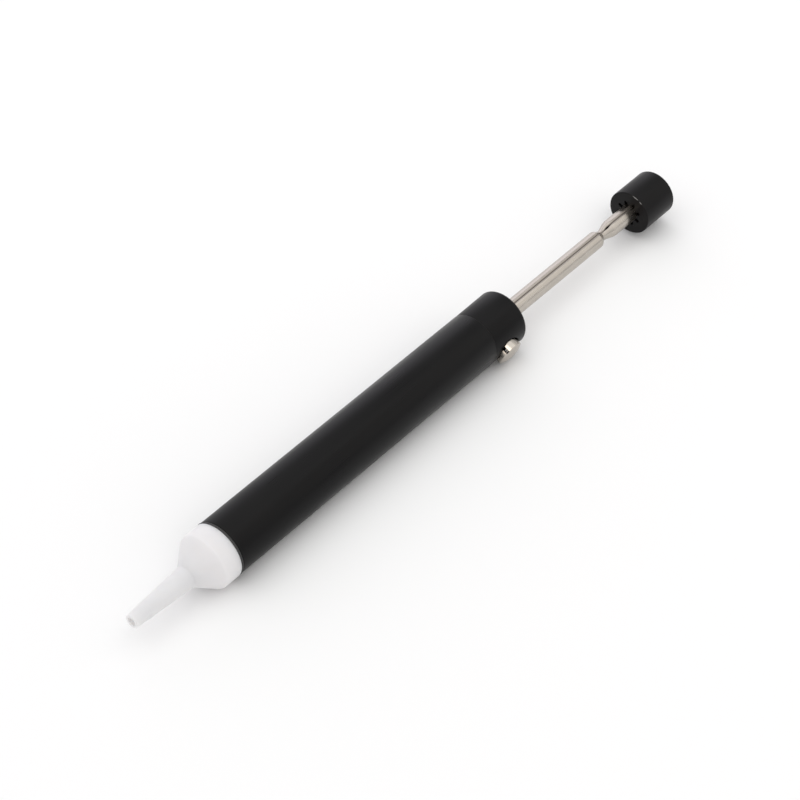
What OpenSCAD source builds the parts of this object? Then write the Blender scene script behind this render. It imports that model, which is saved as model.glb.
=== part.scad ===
// Desoldering pump: a hand-held spring-loaded suction pump for molten solder.
// X runs along the pump, from the nozzle's mouth at x = 0 to the thumb knob.
// The pump lies on its side with +Z up and its plunger released.
// Pressing the knob pushes the plunger towards the nozzle, against the main spring.
// A latch plate in the end cap then drops into the rod's waist.
// The trigger button lifts the plate out of the waist, and the piston flies back and sucks.

/* [Barrel] */
// Length of the barrel tube, between the front ring and the end cap
barrel_l = 124; // [100:1:180]
// Outside diameter of the barrel tube
barrel_d = 20; // [19:0.1:26]
// Wall of the barrel tube
barrel_wall = 1.5; // [1:0.1:1.8]

/* [Nozzle] */
// Length of the nozzle that shows, from its mouth to the front ring
nozzle_l = 38.2; // [34:0.1:60]
// Length of the slim tip, from the mouth to the foot of the shoulder cone
tip_l = 24; // [12:0.1:27]
// Outside diameter of the tip at its mouth
tip_d = 5; // [4.5:0.1:7]
// Outside diameter of the tip where it meets the shoulder cone
tip_root_d = 7.9; // [7:0.1:11]
// Bore of the tip
tip_bore_d = 3; // [2:0.1:3.6]
// Length of the straight bore behind the mouth
tip_bore_l = 12; // [4:0.5:12]
// Length of the round collar in front of the barrel
collar_l = 6.4; // [2:0.1:7]
// How far the collar stands out over the barrel, measured on the radius
collar_proud = 0.1; // [0:0.05:0.5]
// Wall of the tip where it meets the shoulder cone
tip_wall = 1.5; // [1:0.1:1.8]
// Wall between the funnel inside and the shoulder outside, along the pump
funnel_wall = 4; // [2:0.5:6]
// Hollow rounding between the tip and the shoulder cone
root_round = 0.8; // [0.5:0.1:3]
// Rounding between the shoulder cone and the collar
shoulder_round = 1; // [0.5:0.1:3]
// Length of the spigot that plugs into the front seat
spigot_l = 9; // [7.5:0.5:11]
// Wall of the spigot
spigot_wall = 1.8; // [1.6:0.1:2.4]

/* [Front ring and spring seat] */
// Width of the gasket ring between the collar and the barrel
front_ring_w = 1; // [0.5:0.1:2]
// How far the gasket ring stands out over the barrel, measured on the radius
front_ring_proud = 0.15; // [0:0.05:0.4]
// Length of the seat pressed into the front of the barrel
seat_l = 12; // [11:0.5:18]
// Wall of the seat
seat_wall = 1.5; // [1.3:0.1:2]

/* [End cap] */
// Wall of the cap between the button's well and the barrel
cap_front_wall = 1.7; // [1.2:0.1:4]
// Wall of the cap between the button's well and its back
cap_back_wall = 3.9; // [2:0.1:6]
// How far the cap stays under the barrel at its front edge, measured on the radius
cap_front_step = 0.05; // [0:0.01:0.2]
// How far the cap stands out over the barrel at its back, measured on the radius
cap_rear_proud = 0.15; // [0:0.05:0.5]
// Rounding of the cap's back edge
cap_round = 1.4; // [0.5:0.1:2]
// Length of the cap's spigot inside the barrel
cap_spigot_l = 7; // [5:0.5:12]
// Length of the bush that guides the rod
bush_l = 4; // [3:0.1:5]
// Wall of the bush
bush_wall = 1.2; // [0.8:0.1:1.3]
// Thickness of the felt wiper in front of the bush
felt_l = 1.2; // [0.8:0.1:1.5]
// Thickness of the rubber bumper that stops the piston
bumper_l = 3; // [2:0.5:6]
// Wall of the bumper
bumper_wall = 3.4; // [2:0.1:4.4]

/* [Plunger rod] */
// Outside diameter of the rolled rod
rod_d = 6.4; // [5.3:0.1:6.6]
// Thickness of the sheet that the rod is rolled from
rod_wall = 0.6; // [0.4:0.05:0.8]
// Length of rod that shows between the cap and the knob
rod_out = 70.6; // [66:0.1:90]
// Diameter of the rod at the bottom of the latch waist
waist_d = 4; // [3.8:0.1:4.8]
// Distance from the knob to the bottom of the waist
waist_from_knob = 16.2; // [10:0.1:20]
// Length of the steep side of the waist, towards the barrel
waist_steep_l = 2.6; // [1:0.1:3]
// Length of the flared side of the waist, towards the knob
waist_flare_l = 5.5; // [3:0.1:7]
// Width of the rod's lengthwise seam
seam_w = 0.25; // [0.1:0.05:0.5]
// Widest opening of the seam at the waist
seam_mouth_w = 0.9; // [0.5:0.1:1.4]
// Turn of the seam away from straight up, towards -Y
seam_turn = 13; // [-90:1:90]

/* [Knob] */
// Length of the knob
knob_l = 16; // [15:0.1:24]
// Diameter of the knob
knob_d = 16.6; // [14:0.1:24]
// Rounding of the knob's back edge
knob_round = 1; // [0.3:0.1:2]
// Rounding of the knob's front edge
knob_front_round = 0.4; // [0.2:0.1:1]
// Depth of the rod's socket in the knob
knob_socket_l = 12; // [8:0.5:14]
// Number of relief notches around the socket
notch_count = 8; // [4:1:10]
// Length of each notch, outwards from the rod
notch_l = 1.7; // [1.2:0.1:2.4]
// Width of each notch
notch_w = 1.3; // [0.6:0.1:1.4]
// Depth of each notch
notch_depth = 5; // [2:0.5:10]
// Turn of the first notch from the top, towards the button
notch_turn = 23; // [0:1:90]

/* [Piston] */
// Length of the piston
piston_l = 12; // [11.5:0.5:18]
// Section of the piston's sealing ring
piston_ring_d = 1.9; // [1.5:0.1:2.4]
// Depth that the rod sinks into the piston
piston_socket_l = 7; // [6.5:0.5:7]
// Diameter of the cross pin through piston and rod
cross_pin_d = 1.5; // [1:0.1:2]
// Diameter of the cleaning pin
cleaning_pin_d = 1.6; // [1:0.1:1.8]
// How far the cleaning pin pokes out of the nozzle when the pump is cocked
cleaning_pin_reach = 1.5; // [0:0.1:4]
// Diameter of the brass stud that holds the cleaning pin
stud_d = 5; // [4:0.1:7]
// Length of the stud in front of the piston
stud_l = 4.5; // [3:0.5:8]

/* [Springs] */
// Wire of the main spring
spring_wire_d = 1.1; // [0.8:0.05:1.2]
// Turns of the main spring
spring_turns = 17; // [12:1:20]
// Wire of the trigger spring
trigger_wire_d = 0.45; // [0.3:0.05:0.5]
// Turns of the trigger spring
trigger_turns = 4; // [3:0.5:5]

/* [Trigger] */
// Angle of the button below the horizontal, on the -Y side
trigger_angle = 24; // [0:1:90]
// Diameter of the button
button_d = 9.7; // [8:0.1:11.6]
// Distance that the middle of the button's face stands out over the barrel
button_out = 2.6; // [1.8:0.1:4]
// Height of the dome that the button's face makes
button_dome = 1.2; // [0.4:0.1:1.4]
// Sheet thickness of the button
button_sheet = 0.6; // [0.4:0.05:0.8]
// Rounding of the button's outer edge
button_round = 0.4; // [0.2:0.1:0.6]
// Width of the two notches across the button's skirt
button_notch_w = 1.3; // [0.8:0.1:2]
// Turn of the skirt's notches away from the latch plate's plane
button_notch_turn = 41; // [0:1:90]
// Travel of the trigger button
trigger_travel = 1.5; // [1.3:0.1:1.6]
// Thickness of the latch plate
latch_t = 1; // [0.8:0.1:1.2]
// Steel left on each side of the latch plate's hole
latch_rail = 1; // [0.7:0.1:1.1]
// Steel left between the latch plate's hole and its lower end
latch_web = 3.4; // [2.4:0.1:3.6]
// Width of the latch plate's tongue
tongue_w = 4; // [3:0.1:4.6]

/* [Clearances] */
// Radial running clearance of a sliding shaft or seal
running_gap = 0.05; // [0.02:0.01:0.09]
// Radial clearance of pieces that are pressed or glued together
snug_gap = 0.02; // [0.01:0.01:0.04]
// Clearance between moving pieces that don't guide each other
loose_gap = 0.3; // [0.2:0.05:0.4]
// Radial clearance of the button in its hole
button_gap = 0.45; // [0.2:0.05:0.6]

/* [Hidden] */
$fn = 96;

// A cut reaches this far past the face that it opens.
cut_over = 1;

// Small breaks of the edges
edge_round = 0.3;

// Radii across the pump
barrel_r = barrel_d / 2;
bore_r = barrel_r - barrel_wall;
collar_r = barrel_r + collar_proud;
seat_bore_r = bore_r - seat_wall;
spigot_r = seat_bore_r - running_gap;
spigot_bore_r = spigot_r - spigot_wall;
tip_bore_r = tip_bore_d / 2;
rod_r = rod_d / 2;
bush_bore_r = rod_r + running_gap;
bush_r = bush_bore_r + bush_wall;
waist_r = waist_d / 2;
knob_r = knob_d / 2;
piston_r = bore_r - running_gap;

// Places along the pump
barrel_x0 = nozzle_l + front_ring_w;
barrel_x1 = barrel_x0 + barrel_l;
well_r = button_d / 2 + button_gap;
trigger_x = barrel_x1 + cap_front_wall + well_r;
cap_x1 = trigger_x + well_r + cap_back_wall;
knob_x0 = cap_x1 + rod_out;
waist_x = knob_x0 - waist_from_knob;
plunger_travel = waist_x - trigger_x;
bush_x0 = cap_x1 - bush_l;
felt_x0 = bush_x0 - felt_l;
cap_spigot_x0 = barrel_x1 - cap_spigot_l;
bumper_x0 = cap_spigot_x0 - bumper_l;
piston_x1 = bumper_x0 - loose_gap;
piston_x0 = piston_x1 - piston_l;
rod_x0 = piston_x1 - piston_socket_l;
rod_x1 = knob_x0 + knob_socket_l;
cross_pin_x = piston_x1 - piston_socket_l / 2;
piston_ring_x = piston_x0 + 1.6 * piston_ring_d;
stud_hole_l = piston_l - piston_socket_l - 1.2;
pin_hole_end = 0.5;
washer_t = 0.6;
spring_x0 = barrel_x0 + seat_l;
spring_x1 = piston_x0 - washer_t;

// The sealing rings of nozzle and seat, whose grooves are as deep as the rings are thick
ring_d = 1.1;
ring_groove_gap = 0.1;
nozzle_ring_x = nozzle_l + 5.5;
seat_ring_x = barrel_x0 + 2.8;

// Heights along the trigger's own axis, measured from the pump's axis
button_top = barrel_r + button_out;
button_r = button_d / 2;
button_in_r = button_r - button_sheet;
button_edge_z = button_top - button_dome;
dome_r = (button_r * button_r + button_dome * button_dome) / (2 * button_dome);
dome_in_r = dome_r - button_sheet;
button_corner = 0.5;
core_r = button_in_r - button_corner - 0.05;
core_h = 1.2;
core_z = button_top - button_sheet - core_h;
latch_hole_r = rod_r + loose_gap;
latch_hole_top = latch_hole_r + trigger_travel;
latch_bridge = 1.3;
latch_top = latch_hole_top + latch_bridge;
latch_w = 2 * (latch_hole_r + latch_rail);
latch_slot_gap = 0.2;
latch_end_z = latch_w / 2 - latch_hole_r - latch_web;
latch_washer_z = latch_top + 0.1;
latch_washer_t = 0.5;
skirt_gap = 0.2;
skirt_z = latch_washer_z + latch_washer_t + trigger_travel + skirt_gap;
spring_mean_r = (seat_bore_r + bore_r - running_gap) / 2;
trigger_spring_r = core_r - 0.5;

function unit(v) = v / norm(v);

// Points of the arc that rounds the corner p between its neighbours before and after.
function rounded(before, p, after, r, steps = 6) =
    let(
        a = unit(before - p),
        b = unit(after - p),
        half = acos(a * b) / 2,
        centre = p + unit(a + b) * r / sin(half),
        start = p + a * r / tan(half) - centre,
        end = p + b * r / tan(half) - centre
    )
    [for (i = [0 : steps]) centre + r * unit(start * (1 - i / steps) + end * i / steps)];

function reversed(points) = [for (i = [len(points) - 1 : -1 : 0]) points[i]];

// Turns an outline of [radius, place along the pump] points around the pump's axis.
module lathe() {
    rotate([0, 90, 0]) rotate_extrude() children();
}

// A round solid along the pump.
module rod_along(r, x0, x1) {
    translate([x0, 0, 0]) rotate([0, 90, 0]) cylinder(r = r, h = x1 - x0);
}

// A plain ring along the pump.
module ring_along(r_out, r_in, x0, x1) {
    lathe() translate([r_in, x0]) square([r_out - r_in, x1 - x0]);
}

// A sealing ring with a round section, lying at x and touching the radius r_out.
module seal(r_out, section_d, x) {
    lathe() translate([r_out - section_d / 2, x]) circle(d = section_d);
}

// Puts children with +Z outwards at the trigger button.
module at_trigger() {
    translate([trigger_x, 0, 0]) rotate([90 + trigger_angle, 0, 0]) children();
}

// Height of a coil's centre line after a number of turns. Its first and last turn lie closed.
function coil_height(turn, turns, wire_d, height) =
    let(
        closed = 1.05 * wire_d,
        open = (height - wire_d - 2 * closed) / (turns - 2)
    )
    wire_d / 2 + closed * min(turn, 1) + open * max(0, min(turn - 1, turns - 2))
        + closed * max(0, turn - turns + 1);

// A compression spring standing on z = 0.
module coil(mean_r, wire_d, height, turns) {
    steps = 18 * turns;
    sides = 8;
    points = [
        for (i = [0 : steps], k = [0 : sides - 1])
        let(
            turn = i * turns / steps,
            r = mean_r + wire_d / 2 * cos(360 * k / sides),
            z = coil_height(turn, turns, wire_d, height) + wire_d / 2 * sin(360 * k / sides)
        )
        [r * cos(360 * turn), r * sin(360 * turn), z]
    ];
    skin = [
        for (i = [0 : steps - 1], k = [0 : sides - 1])
        let(a = i * sides + k, b = i * sides + (k + 1) % sides)
        [a, a + sides, b + sides, b]
    ];
    first = [for (k = [0 : sides - 1]) k];
    last = [for (k = [sides - 1 : -1 : 0]) steps * sides + k];
    polyhedron(points = points, faces = concat(skin, [first, last]));
}

// Nozzle: heat-proof white plastic, with a funnel inside that opens into the barrel.
module nozzle() {
    tip = [tip_d / 2, 0];
    root = [tip_root_d / 2, tip_l];
    corner = [collar_r, nozzle_l - collar_l];
    back = [collar_r, nozzle_l];
    spigot_x1 = nozzle_l + spigot_l;
    groove_r = spigot_r - ring_d;
    groove_half = ring_d / 2 + ring_groove_gap;
    outline = concat(
        [[tip_bore_r, 0]],
        rounded([tip_bore_r, 0], tip, root, edge_round, 3),
        rounded(tip, root, corner, root_round, 4),
        rounded(root, corner, back, shoulder_round),
        rounded(corner, back, [spigot_r, nozzle_l], edge_round / 2, 3),
        [
            [spigot_r, nozzle_l],
            [spigot_r, nozzle_ring_x - groove_half],
            [groove_r, nozzle_ring_x - groove_half],
            [groove_r, nozzle_ring_x + groove_half],
            [spigot_r, nozzle_ring_x + groove_half],
            [spigot_r, spigot_x1 - edge_round],
            [spigot_r - edge_round, spigot_x1],
            [spigot_bore_r, spigot_x1],
            [spigot_bore_r, nozzle_l - funnel_wall],
            [tip_root_d / 2 - tip_wall, tip_l],
            [tip_bore_r, tip_bore_l]
        ]
    );
    color([0.93, 0.93, 0.92]) lathe() polygon(outline);
}

module nozzle_oring() {
    color([0.1, 0.1, 0.1]) seal(seat_bore_r - running_gap / 2, ring_d, nozzle_ring_x);
}

// Gasket ring squeezed between the nozzle's collar and the barrel.
module front_ring() {
    lip_r = front_ring_w / 2;
    lip_centre_r = barrel_r + front_ring_proud - lip_r;
    color([0.12, 0.12, 0.13]) lathe() polygon(concat(
        [[seat_bore_r + loose_gap, nozzle_l]],
        [
            for (turn = [0 : 15 : 180])
                [lip_centre_r + lip_r * sin(turn), nozzle_l + lip_r * (1 - cos(turn))]
        ],
        [[seat_bore_r + loose_gap, barrel_x0]]
    ));
}

// Seat in the barrel's mouth: it holds the nozzle's spigot and carries the main spring.
module spring_seat() {
    groove_half = ring_d / 2 + ring_groove_gap;
    color([0.75, 0.75, 0.72]) difference() {
        ring_along(bore_r - snug_gap, seat_bore_r, barrel_x0, spring_x0);
        ring_along(
            bore_r + cut_over,
            bore_r - snug_gap - ring_d,
            seat_ring_x - groove_half,
            seat_ring_x + groove_half
        );
    }
}

module seat_oring() {
    color([0.1, 0.1, 0.1]) seal(bore_r - snug_gap, ring_d - snug_gap, seat_ring_x);
}

module barrel() {
    color([0.13, 0.13, 0.14]) ring_along(barrel_r, bore_r, barrel_x0, barrel_x1);
}

// End cap: a near-solid plug with the rod's bore, the bush's pocket and the trigger's well.
module end_cap() {
    front = [barrel_r - cap_front_step, barrel_x1];
    back = [barrel_r + cap_rear_proud, cap_x1];
    outline = concat(
        [
            [rod_r + loose_gap, cap_spigot_x0],
            [bore_r - snug_gap, cap_spigot_x0],
            [bore_r - snug_gap, barrel_x1]
        ],
        rounded([bore_r, barrel_x1], front, back, edge_round / 2, 2),
        rounded(front, back, [bush_r, cap_x1], cap_round, 8),
        [
            [bush_r + snug_gap, cap_x1],
            [bush_r + snug_gap, felt_x0],
            [rod_r + loose_gap, felt_x0]
        ]
    );
    color([0.13, 0.13, 0.14]) difference() {
        lathe() polygon(outline);
        at_trigger() {
            translate([0, 0, latch_washer_z])
                cylinder(r = well_r, h = button_top);
            latch_outline(
                latch_t + 2 * latch_slot_gap,
                latch_slot_gap,
                latch_end_z - trigger_travel - loose_gap,
                latch_washer_z + 0.01
            );
        }
    }
}

// A plate with a round lower end about end_z and a flat top, as wide as the latch plate and a gap.
module latch_outline(thickness, gap, end_z, top_z) {
    half = latch_w / 2 + gap;
    translate([-thickness / 2, 0, 0]) rotate([90, 0, 90]) linear_extrude(thickness) {
        translate([0, end_z]) circle(r = half);
        translate([-half, end_z]) square([2 * half, top_z - end_z]);
    }
}

module rod_bush() {
    color([0.72, 0.6, 0.33]) ring_along(bush_r, bush_bore_r, bush_x0, cap_x1);
}

module rod_felt() {
    color([0.45, 0.45, 0.43]) ring_along(bush_r, bush_bore_r, felt_x0, bush_x0);
}

// Rubber bumper on the cap's spigot: the piston lands on it when the trigger is pressed.
module rear_bumper() {
    inner_r = bore_r - loose_gap - bumper_wall;
    color([0.15, 0.15, 0.15])
        ring_along(bore_r - loose_gap, max(inner_r, rod_r + loose_gap), bumper_x0, cap_spigot_x0);
}

module main_spring() {
    color([0.7, 0.7, 0.72]) translate([spring_x0, 0, 0]) rotate([0, 90, 0])
        coil(spring_mean_r, spring_wire_d, spring_x1 - spring_x0, spring_turns);
}

// Outline of the rod's skin, drawn at a radius that shrinks with the waist.
function rod_skin(r) =
    let(
        drop = rod_r - waist_r,
        steep_x = waist_x - waist_steep_l,
        flare_x = waist_x + waist_flare_l
    )
    concat(
        [[r, rod_x0], [r, steep_x - edge_round], [r - 0.12 * drop, steep_x]],
        [[r - 0.9 * drop, waist_x - waist_steep_l / 3]],
        [
            for (i = [0 : 8])
            let(t = i / 8)
            [r - drop * (1 + cos(180 * t)) / 2, waist_x + (flare_x - waist_x) * t]
        ],
        [[r, rod_x1]]
    );

// Plunger rod: rolled sheet, with an open seam along it and the latch waist near the knob.
module plunger_rod() {
    inner = rod_skin(rod_r - rod_wall);
    outline = concat(rod_skin(rod_r), reversed(inner));
    mouth_x = waist_x + 0.45 * waist_flare_l;
    mouth_l = 0.8 * waist_flare_l;
    mouth_arc_r = (mouth_l * mouth_l + seam_mouth_w * seam_mouth_w) / (4 * seam_mouth_w);
    color([0.75, 0.73, 0.7]) difference() {
        lathe() polygon(outline);
        rotate([seam_turn, 0, 0]) {
            translate([rod_x0 - cut_over, -seam_w / 2, 0])
                cube([rod_x1 - rod_x0 + 2 * cut_over, seam_w, rod_r + cut_over]);
            translate([mouth_x, 0, 0]) linear_extrude(rod_r + cut_over) intersection() {
                translate([0, mouth_arc_r - seam_mouth_w / 2]) circle(r = mouth_arc_r);
                translate([0, seam_mouth_w / 2 - mouth_arc_r]) circle(r = mouth_arc_r);
            }
        }
        translate([cross_pin_x, 0, -rod_r - cut_over])
            cylinder(d = cross_pin_d + 2 * snug_gap, h = 2 * (rod_r + cut_over));
    }
}

// Knob: a plain round cap with a blind socket and relief notches around it.
module knob() {
    knob_x1 = knob_x0 + knob_l;
    notch_end = rod_r + notch_l - notch_w / 2;
    outline = concat(
        [[rod_r + snug_gap, knob_x0]],
        rounded([rod_r, knob_x0], [knob_r, knob_x0], [knob_r, knob_x1], knob_front_round, 4),
        rounded([knob_r, knob_x0], [knob_r, knob_x1], [0, knob_x1], knob_round),
        [[0, knob_x1], [0, rod_x1 + snug_gap], [rod_r + snug_gap, rod_x1 + snug_gap]]
    );
    color([0.14, 0.14, 0.15]) difference() {
        lathe() polygon(outline);
        for (i = [0 : notch_count - 1])
            rotate([notch_turn + 360 * i / notch_count, 0, 0]) {
                translate([knob_x0 - cut_over, -notch_w / 2, 0])
                    cube([notch_depth + cut_over, notch_w, notch_end]);
                translate([0, 0, notch_end])
                    rod_along(notch_w / 2, knob_x0 - cut_over, knob_x0 + notch_depth);
            }
    }
}

module piston() {
    groove_half = piston_ring_d / 2 + 0.15;
    color([0.85, 0.84, 0.8]) difference() {
        rod_along(piston_r, piston_x0, piston_x1);
        ring_along(
            piston_r + cut_over,
            bore_r - piston_ring_d,
            piston_ring_x - groove_half,
            piston_ring_x + groove_half
        );
        rod_along(rod_r + snug_gap, rod_x0, piston_x1 + cut_over);
        rod_along(stud_d / 4 + snug_gap, piston_x0 - cut_over, piston_x0 + stud_hole_l);
        translate([cross_pin_x, 0, -piston_r])
            cylinder(d = cross_pin_d + 2 * snug_gap, h = 2 * piston_r);
    }
}

module piston_oring() {
    color([0.1, 0.1, 0.1]) seal(bore_r - running_gap / 2, piston_ring_d - 0.1, piston_ring_x);
}

// Cross pin that ties the rod to the piston. It ends just under the piston's skin.
module piston_pin() {
    color([0.7, 0.7, 0.72]) translate([cross_pin_x, 0, -piston_r + loose_gap])
        cylinder(d = cross_pin_d, h = 2 * (piston_r - loose_gap));
}

// Steel washer under the main spring's back end.
module piston_washer() {
    color([0.72, 0.72, 0.74])
        ring_along(piston_r - loose_gap, stud_d / 2 + loose_gap, spring_x1, piston_x0);
}

// Brass stud pressed into the piston, drilled for the cleaning pin.
module pin_stud() {
    stud_x0 = piston_x0 - stud_l;
    color([0.78, 0.62, 0.3]) difference() {
        union() {
            rod_along(stud_d / 2, stud_x0, piston_x0);
            rod_along(stud_d / 4, piston_x0, piston_x0 + stud_hole_l - snug_gap);
        }
        rod_along(cleaning_pin_d / 2 + snug_gap, stud_x0 - cut_over, piston_x0 - pin_hole_end);
    }
}

module cleaning_pin() {
    pin_x0 = plunger_travel - cleaning_pin_reach;
    pin_x1 = piston_x0 - pin_hole_end - snug_gap;
    color([0.7, 0.7, 0.72]) rod_along(cleaning_pin_d / 2, pin_x0, pin_x1);
}

// Points of the button's dome from its middle out to the radius r, for a sphere of the radius sphere_r.
function dome(r, sphere_r, steps = 8) = [
    for (i = [0 : steps])
    let(x = r * i / steps)
    [x, button_top - dome_r + sqrt(sphere_r * sphere_r - x * x)]
];

// Trigger button: a drawn cup of plated sheet with a domed face, and a notch cut across its skirt.
module trigger_button() {
    outer = dome(button_r, dome_r);
    inner = dome(button_in_r - button_corner, dome_in_r);
    outer_end = len(outer) - 1;
    outline = concat(
        [for (i = [0 : outer_end - 1]) outer[i]],
        rounded(outer[outer_end - 1], outer[outer_end], [button_r, skirt_z], button_round, 4),
        [
            [button_r, skirt_z],
            [button_in_r, skirt_z],
            [button_in_r, inner[len(inner) - 1][1] - button_corner]
        ],
        reversed(inner)
    );
    notch_z1 = button_edge_z - button_round / 2;
    color([0.8, 0.77, 0.72]) at_trigger() difference() {
        rotate_extrude() polygon(outline);
        rotate([0, 0, button_notch_turn])
            translate([-button_notch_w / 2, -button_r - cut_over, skirt_z - cut_over])
                cube([button_notch_w, 2 * (button_r + cut_over), notch_z1 - skirt_z + cut_over]);
    }
}

// Plastic core in the button: it grips the latch plate's tongue and centres the spring.
module button_core() {
    outline = concat([[0, core_z], [core_r, core_z]], reversed(dome(core_r, dome_in_r - running_gap)));
    color([0.2, 0.2, 0.2]) at_trigger() difference() {
        rotate_extrude() polygon(outline);
        translate([0, 0, core_z + core_h / 2])
            cube(
                [latch_t + 2 * snug_gap, tongue_w + 2 * snug_gap, core_h + 2 * cut_over],
                center = true
            );
    }
}

// Latch plate: the lower edge of its hole drops into the rod's waist when the pump is cocked.
module latch_plate() {
    tongue_top = core_z + core_h - button_dome / 2;
    color([0.7, 0.7, 0.72]) at_trigger() difference() {
        union() {
            latch_outline(latch_t, 0, latch_end_z, latch_top);
            translate([-latch_t / 2, -tongue_w / 2, 0])
                cube([latch_t, tongue_w, tongue_top]);
        }
        translate([-latch_t, 0, 0]) rotate([90, 0, 90]) linear_extrude(2 * latch_t) {
            circle(r = latch_hole_r);
            translate([0, trigger_travel]) circle(r = latch_hole_r);
            translate([-latch_hole_r, 0]) square([2 * latch_hole_r, trigger_travel]);
        }
    }
}

// Washer at the bottom of the button's well, with a slot for the tongue.
module latch_washer() {
    slot_gap = latch_slot_gap;
    color([0.7, 0.7, 0.72]) at_trigger() difference() {
        translate([0, 0, latch_washer_z])
            cylinder(r = well_r - snug_gap, h = latch_washer_t);
        translate([0, 0, latch_washer_z])
            cube([latch_t + 2 * slot_gap, tongue_w + 2 * slot_gap, 4 * latch_washer_t], center = true);
    }
}

module trigger_spring() {
    spring_z0 = latch_washer_z + latch_washer_t;
    color([0.75, 0.75, 0.77]) at_trigger() translate([0, 0, spring_z0])
        coil(trigger_spring_r, trigger_wire_d, core_z - spring_z0, trigger_turns);
}

nozzle();
nozzle_oring();
front_ring();
spring_seat();
seat_oring();
barrel();
end_cap();
rod_bush();
rod_felt();
rear_bumper();
main_spring();
plunger_rod();
knob();
piston();
piston_oring();
piston_pin();
piston_washer();
pin_stud();
cleaning_pin();
trigger_button();
button_core();
latch_plate();
latch_washer();
trigger_spring();
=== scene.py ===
"""A desoldering pump, lying on a pale bench with its plunger out.

The pump lies along X, with its nozzle's mouth at the origin and its thumb knob at the far end.
"""
from math import atan2, cos, pi, radians, sin, sqrt

import bmesh
import bpy
from mathutils import Matrix, Vector


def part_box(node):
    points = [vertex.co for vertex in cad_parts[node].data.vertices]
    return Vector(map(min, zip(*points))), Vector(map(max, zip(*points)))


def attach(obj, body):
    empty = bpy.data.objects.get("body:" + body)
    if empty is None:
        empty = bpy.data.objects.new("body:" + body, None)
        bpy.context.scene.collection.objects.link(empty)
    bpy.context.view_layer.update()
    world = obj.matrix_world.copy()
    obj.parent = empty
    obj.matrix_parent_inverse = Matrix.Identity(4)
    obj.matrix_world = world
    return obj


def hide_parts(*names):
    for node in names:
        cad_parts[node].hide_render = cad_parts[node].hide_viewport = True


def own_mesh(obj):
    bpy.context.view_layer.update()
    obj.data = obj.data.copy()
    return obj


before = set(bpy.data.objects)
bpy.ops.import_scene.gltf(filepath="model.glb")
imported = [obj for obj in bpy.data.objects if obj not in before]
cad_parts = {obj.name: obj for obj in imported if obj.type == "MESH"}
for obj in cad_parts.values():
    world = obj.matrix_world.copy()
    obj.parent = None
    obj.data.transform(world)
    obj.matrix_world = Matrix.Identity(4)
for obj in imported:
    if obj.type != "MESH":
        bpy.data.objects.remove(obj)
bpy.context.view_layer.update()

# --- Camera -----------------------------------------------------------------------------------
# A long lens looks down on the pump from its nozzle end, from in front of its trigger button.
# The view is centred on the pump's axis.
MM = 0.001
lens_length = 117
camera_distance = 850 * MM
camera_target = Vector((125.3 * MM, 0.2 * MM, 0.14 * MM))
camera_turn = radians(-49.8)
camera_height = radians(44.2)
camera_roll = radians(0.1)
camera_way = Vector((
    sin(camera_turn) * cos(camera_height),
    -cos(camera_turn) * cos(camera_height),
    sin(camera_height),
))

camera_data = bpy.data.cameras.new("camera")
camera_data.lens = lens_length
camera_data.sensor_width = 36
camera_data.clip_start = 0.01
camera = bpy.data.objects.new("camera", camera_data)
camera.location = camera_target + camera_way * camera_distance
camera_turned = camera_way.to_track_quat("Z", "Y").to_matrix() @ Matrix.Rotation(camera_roll, 3, "Z")
camera.rotation_euler = camera_turned.to_euler()
bpy.context.scene.collection.objects.link(camera)
bpy.context.scene.camera = camera
bpy.context.scene.view_settings.view_transform = "Standard"


# --- Bench and light --------------------------------------------------------------------------
# A white card under the pump, in an evenly lit tent: a cool wall behind, a warm one at the knob's
# end, a wide soft box above, and a warm card that shows only in reflections, as on the button.
pump_low = min(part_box(name)[0].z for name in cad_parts)
bench_half = 4
room_glow = 0.76
bench_mesh = bpy.data.meshes.new("bench")
bench_form = bmesh.new()
bmesh.ops.create_grid(bench_form, x_segments=8, y_segments=8, size=bench_half)
bmesh.ops.translate(bench_form, verts=bench_form.verts, vec=(0, 0, pump_low))
bench_form.to_mesh(bench_mesh)
bench_form.free()
bench = bpy.data.objects.new("bench", bench_mesh)
bpy.context.scene.collection.objects.link(bench)

bench_card = bpy.data.materials.new("bench_card")
bench_card.use_nodes = True
card_shader = bench_card.node_tree.nodes["Principled BSDF"]
card_white, card_roughness = (0.93, 0.93, 0.93, 1), 0.85
card_shader.inputs["Base Color"].default_value = card_white
card_shader.inputs["Roughness"].default_value = card_roughness
bench_mesh.materials.append(bench_card)


def soft_box(name, place, size, glow, tint=(1, 1, 1)):
    """A rectangular light that faces the pump. Its glow is its brightness beside the room's."""
    light = bpy.data.lights.new(name, "AREA")
    light.shape = "RECTANGLE"
    light.size, light.size_y = size
    light.energy = glow * pi * size[0] * size[1]
    light.color = tint
    lamp = bpy.data.objects.new(name, light)
    lamp.location = place
    aim = Vector(place) - camera_target
    lamp.rotation_euler = aim.to_track_quat("Z", "Y").to_euler()
    bpy.context.scene.collection.objects.link(lamp)
    return lamp


soft_box("back_wall", (0.95, 1.3, 0.6), (1.8, 1.0), 0.66, (0.93, 0.88, 1))
soft_box("front_wall", (1.0, -0.9, 0.9), (1.6, 1.2), 0.36, (1, 0.95, 0.87))
soft_box("top_light", (0.1, 0.1, 1.5), (2.2, 2.2), 0.6)
warm_card = soft_box("warm_card", (-0.72, -0.29, 1.17), (2.2, 1.6), 1.6, (1, 0.9, 0.78))
warm_card.visible_diffuse = False
warm_card.visible_camera = False

room = bpy.data.worlds.new("room")
room.use_nodes = True
room.node_tree.nodes["Background"].inputs["Color"].default_value = (1, 1, 1, 1)
room.node_tree.nodes["Background"].inputs["Strength"].default_value = room_glow
bpy.context.scene.world = room


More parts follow.
